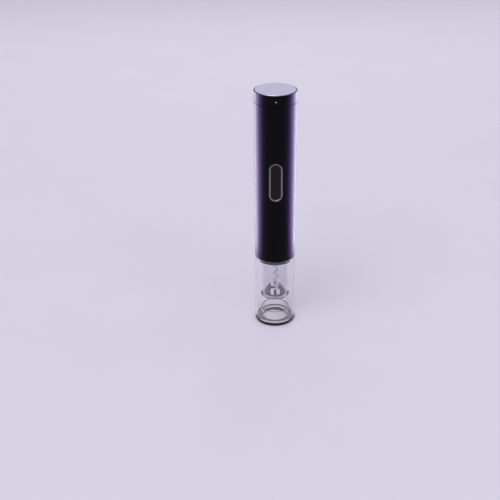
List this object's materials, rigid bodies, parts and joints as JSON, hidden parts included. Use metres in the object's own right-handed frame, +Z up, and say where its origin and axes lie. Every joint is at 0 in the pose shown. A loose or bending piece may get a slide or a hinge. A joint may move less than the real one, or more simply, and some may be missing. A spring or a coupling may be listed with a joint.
{
  "type": "electric wine opener",
  "caption": "Battery electric corkscrew: a black column with a rocker button over a clear sleeve that seats on a bottle neck, with a motor-driven worm inside.",
  "frame": {"origin": "centre of the ring it stands on, at the bottom", "axes": "+Z up along the column, -Y towards the button side"},
  "size_m": [0.048, 0.048, 0.288],
  "materials": {
    "soft_black": "soft-touch satin",
    "cap_black": "soft-touch satin",
    "disc_silver": "fine brushed, clear anodised",
    "clear_plastic": "clear, polished",
    "clear_guide": "clear, polished",
    "base_rubber": "matt",
    "gripper_plastic": "semi-gloss",
    "nose_black": "semi-gloss",
    "window_clear": "clear",
    "board_green": "solder mask",
    "lamp_white": "glossy",
    "screw_steel": "zinc plated",
    "bezel_chrome": "dark polished plate",
    "button_black": "satin",
    "switch_black": "satin",
    "plunger_white": "satin",
    "chip_black": "matt",
    "frame_grey": "moulded",
    "thread_nylon": "natural",
    "washer_brass": "turned",
    "tube_black": "moulded",
    "carriage_white": "moulded",
    "worm_coating": "satin nickel plate",
    "pin_steel": "ground",
    "gear_white": "natural",
    "gear_steel": "sintered",
    "pinion_brass": "cut",
    "ring_grey": "moulded",
    "plate_steel": "pressed",
    "can_steel": "zinc plated",
    "magnet_grey": "ferrite",
    "rotor_steel": "laminated",
    "shaft_steel": "ground",
    "endcap_black": "moulded",
    "terminal_brass": "tinned",
    "holder_grey": "moulded",
    "cell_wrap": "printed wrap, plain",
    "contact_steel": "nickel plated",
    "dot_white": "enamel",
    "plug_black": "moulded",
    "wire_cover": "insulation"
  },
  "bodies": {
    "housing": {"base_ring": "base_rubber", "clear_sleeve": "clear_plastic", "guide_tube": "clear_guide", "cork_gripper": "gripper_plastic", "nose_plate": "nose_black", "light_windows": "window_clear", "lamp_board": "board_green", "lamps": "lamp_white", "sleeve_screws": "screw_steel", "nose_screws": "screw_steel", "body_shell": "soft_black", "button_bezel": "bezel_chrome", "switch_board": "board_green", "upper_switch": "switch_black", "lower_switch": "switch_black", "driver_chip": "chip_black", "thread_sleeve": "thread_nylon", "thrust_washer": "washer_brass", "ring_gear": "ring_grey", "motor_plate": "plate_steel", "gearbox_screws": "screw_steel", "motor_screws": "screw_steel", "motor_can": "can_steel", "motor_magnets": "magnet_grey", "motor_end_cap": "endcap_black", "motor_terminals": "terminal_brass", "frame_front": "frame_grey", "frame_rear": "frame_grey", "frame_screws": "screw_steel", "battery_holder": "holder_grey", "holder_screws": "screw_steel", "cell_front_left": "cell_wrap", "cell_front_right": "cell_wrap", "cell_rear_right": "cell_wrap", "cell_rear_left": "cell_wrap", "lower_contacts": "contact_steel", "wires": "wire_cover"},
    "cap": {"battery_cap": "cap_black", "cap_dot": "dot_white", "top_disc": "disc_silver", "contact_plug": "plug_black", "cap_contacts": "contact_steel"},
    "rocker": {"rocker_button": "button_black"},
    "upper_plunger": {"upper_plunger": "plunger_white"},
    "lower_plunger": {"lower_plunger": "plunger_white"},
    "rotor": {"motor_rotor": "rotor_steel", "motor_shaft": "shaft_steel", "sun_pinion": "pinion_brass"},
    "first_stage": {"first_carrier": "gear_white"},
    "second_stage": {"second_carrier": "gear_steel", "drive_tube": "tube_black"},
    "worm_carriage": {"carriage": "carriage_white", "carriage_pin": "pin_steel", "worm": "worm_coating"},
    "first_planet_1": {"first_planet_1": "gear_white"},
    "second_planet_1": {"second_planet_1": "gear_steel"},
    "first_planet_2": {"first_planet_2": "gear_white"},
    "second_planet_2": {"second_planet_2": "gear_steel"},
    "first_planet_3": {"first_planet_3": "gear_white"},
    "second_planet_3": {"second_planet_3": "gear_steel"}
  },
  "joints": [
    {"name": "cap_lift", "type": "slide", "parent": "housing", "child": "cap", "axis": [0, 0, 1], "range_m": [0, 0.06]},
    {"name": "rocker_tilt", "type": "hinge", "parent": "housing", "child": "rocker", "pos_m": [0, -0.0217, 0.18725], "axis": [1, 0, 0], "range_deg": [-3.5, 3.5], "stiffness_Nm_per_rad": 0.05},
    {"name": "upper_plunger_press", "type": "slide", "parent": "housing", "child": "upper_plunger", "axis": [0, 1, 0], "range_m": [-0.00062, 0.00062]},
    {"name": "lower_plunger_press", "type": "slide", "parent": "housing", "child": "lower_plunger", "axis": [0, 1, 0], "range_m": [-0.00062, 0.00062]},
    {"name": "motor_spin", "type": "hinge", "parent": "housing", "child": "rotor", "pos_m": [0, 0, 0.186], "axis": [0, 0, -1], "range_deg": [0, 45000]},
    {"name": "first_stage_spin", "type": "hinge", "parent": "housing", "child": "first_stage", "pos_m": [0, 0, 0.159], "axis": [0, 0, -1], "range_deg": [0, 9001]},
    {"name": "second_stage_spin", "type": "hinge", "parent": "housing", "child": "second_stage", "pos_m": [0, 0, 0.1514], "axis": [0, 0, -1], "range_deg": [0, 1801]},
    {"name": "first_planet_1_spin", "type": "hinge", "parent": "first_stage", "child": "first_planet_1", "pos_m": [0.009, 0, 0.1627], "axis": [0, 0, -1], "range_deg": [-24001, 0]},
    {"name": "second_planet_1_spin", "type": "hinge", "parent": "second_stage", "child": "second_planet_1", "pos_m": [0.009, 0, 0.1551], "axis": [0, 0, -1], "range_deg": [-4801, 0]},
    {"name": "first_planet_2_spin", "type": "hinge", "parent": "first_stage", "child": "first_planet_2", "pos_m": [-0.0045, 0.00779, 0.1627], "axis": [0, 0, -1], "range_deg": [-24001, 0]},
    {"name": "second_planet_2_spin", "type": "hinge", "parent": "second_stage", "child": "second_planet_2", "pos_m": [-0.0045, 0.00779, 0.1551], "axis": [0, 0, -1], "range_deg": [-4801, 0]},
    {"name": "first_planet_3_spin", "type": "hinge", "parent": "first_stage", "child": "first_planet_3", "pos_m": [-0.0045, -0.00779, 0.1627], "axis": [0, 0, -1], "range_deg": [-24001, 0]},
    {"name": "second_planet_3_spin", "type": "hinge", "parent": "second_stage", "child": "second_planet_3", "pos_m": [-0.0045, -0.00779, 0.1551], "axis": [0, 0, -1], "range_deg": [-4801, 0]},
    {"name": "worm_travel", "type": "slide", "parent": "second_stage", "child": "worm_carriage", "axis": [0, 0, -1], "range_m": [0, 0.04501]}
  ],
  "couplings": [
    {"joint": "upper_plunger_press", "follows": "rocker_tilt", "m_per_rad": -0.01},
    {"joint": "lower_plunger_press", "follows": "rocker_tilt", "m_per_rad": 0.01},
    {"joint": "first_stage_spin", "follows": "motor_spin", "ratio": 0.2},
    {"joint": "second_stage_spin", "follows": "motor_spin", "ratio": 0.04},
    {"joint": "first_planet_1_spin", "follows": "motor_spin", "ratio": -0.53333},
    {"joint": "second_planet_1_spin", "follows": "motor_spin", "ratio": -0.10667},
    {"joint": "first_planet_2_spin", "follows": "motor_spin", "ratio": -0.53333},
    {"joint": "second_planet_2_spin", "follows": "motor_spin", "ratio": -0.10667},
    {"joint": "first_planet_3_spin", "follows": "motor_spin", "ratio": -0.53333},
    {"joint": "second_planet_3_spin", "follows": "motor_spin", "ratio": -0.10667},
    {"joint": "worm_travel", "follows": "motor_spin", "m_per_rad": 0.000057296}
  ]
}
